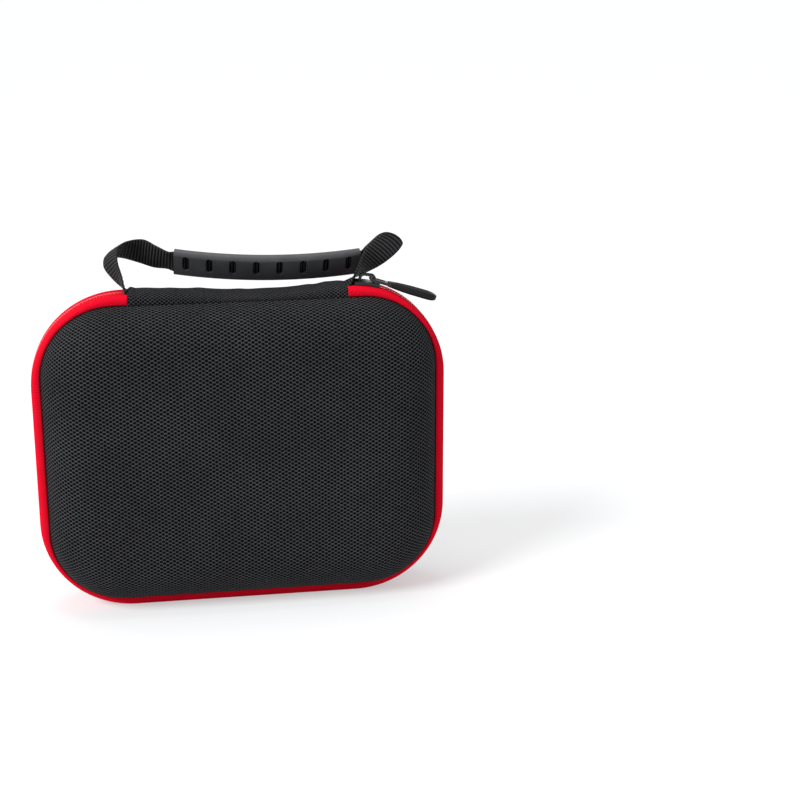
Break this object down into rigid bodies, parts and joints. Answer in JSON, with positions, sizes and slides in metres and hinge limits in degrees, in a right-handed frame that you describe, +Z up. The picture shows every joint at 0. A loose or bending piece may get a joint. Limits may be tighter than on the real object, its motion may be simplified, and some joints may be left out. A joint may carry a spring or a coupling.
{
  "type": "portable game console case",
  "caption": "Zip-up hard-shell carrying case with a fabric hinge, a red zip band and a moulded carrying handle on top.",
  "frame": {"origin": "middle of the zip band's underside, which the case stands on", "axes": "+X to the right seen from the front, +Y from the lid to the back, +Z up towards the handle"},
  "size_m": [0.209, 0.058, 0.1893],
  "materials": {
    "shell_fabric": "woven nylon laminated on moulded foam",
    "spine_fabric": "plain woven nylon",
    "red_tape": "twill zip tape",
    "red_coil": "moulded coil",
    "black_metal": "gloss black enamel",
    "tab_plastic": "moulded, satin",
    "grip_plastic": "moulded, satin",
    "webbing": "ribbed webbing",
    "cradle_foam": "brushed knit over moulded foam",
    "net": "open net",
    "elastic": "woven elastic"
  },
  "bodies": {
    "case_back": {"back_shell": "shell_fabric", "back_zip_tape": "red_tape", "back_zip_coil": "red_coil", "spine_strip": "spine_fabric", "foam_cradle": "cradle_foam"},
    "lid": {"front_shell": "shell_fabric", "front_zip_tape": "red_tape", "front_zip_coil": "red_coil", "mesh_pocket": "net", "pocket_hem": "elastic"},
    "slider": {"zip_slider": "black_metal"},
    "pull": {"pull_link": "black_metal", "pull_tab": "tab_plastic"},
    "handle": {"handle_grip": "grip_plastic", "handle_strap": "webbing"}
  },
  "joints": [
    {"name": "lid_hinge", "type": "hinge", "parent": "case_back", "child": "lid", "pos_m": [0, 0, 0.1685], "axis": [-1, 0, 0], "range_deg": [0, 90], "deforming": ["spine_strip", "front_zip_tape", "front_zip_coil", "handle_strap"]},
    {"name": "zip_travel", "type": "hinge", "parent": "case_back", "child": "slider", "pos_m": [0.0575, 0, 0.1185], "axis": [0, 1, 0], "range_deg": [0, 72], "deforming": ["front_zip_coil", "back_zip_coil"]},
    {"name": "pull_flip", "type": "hinge", "parent": "slider", "child": "pull", "pos_m": [0.06758, 0, 0.16756], "axis": [0, -1, 0], "range_deg": [0, 95]},
    {"name": "handle_swing", "type": "hinge", "parent": "case_back", "child": "handle", "pos_m": [0, 0.0042, 0.1672], "axis": [1, 0, 0], "range_deg": [0, 60], "deforming": ["handle_strap"]}
  ]
}
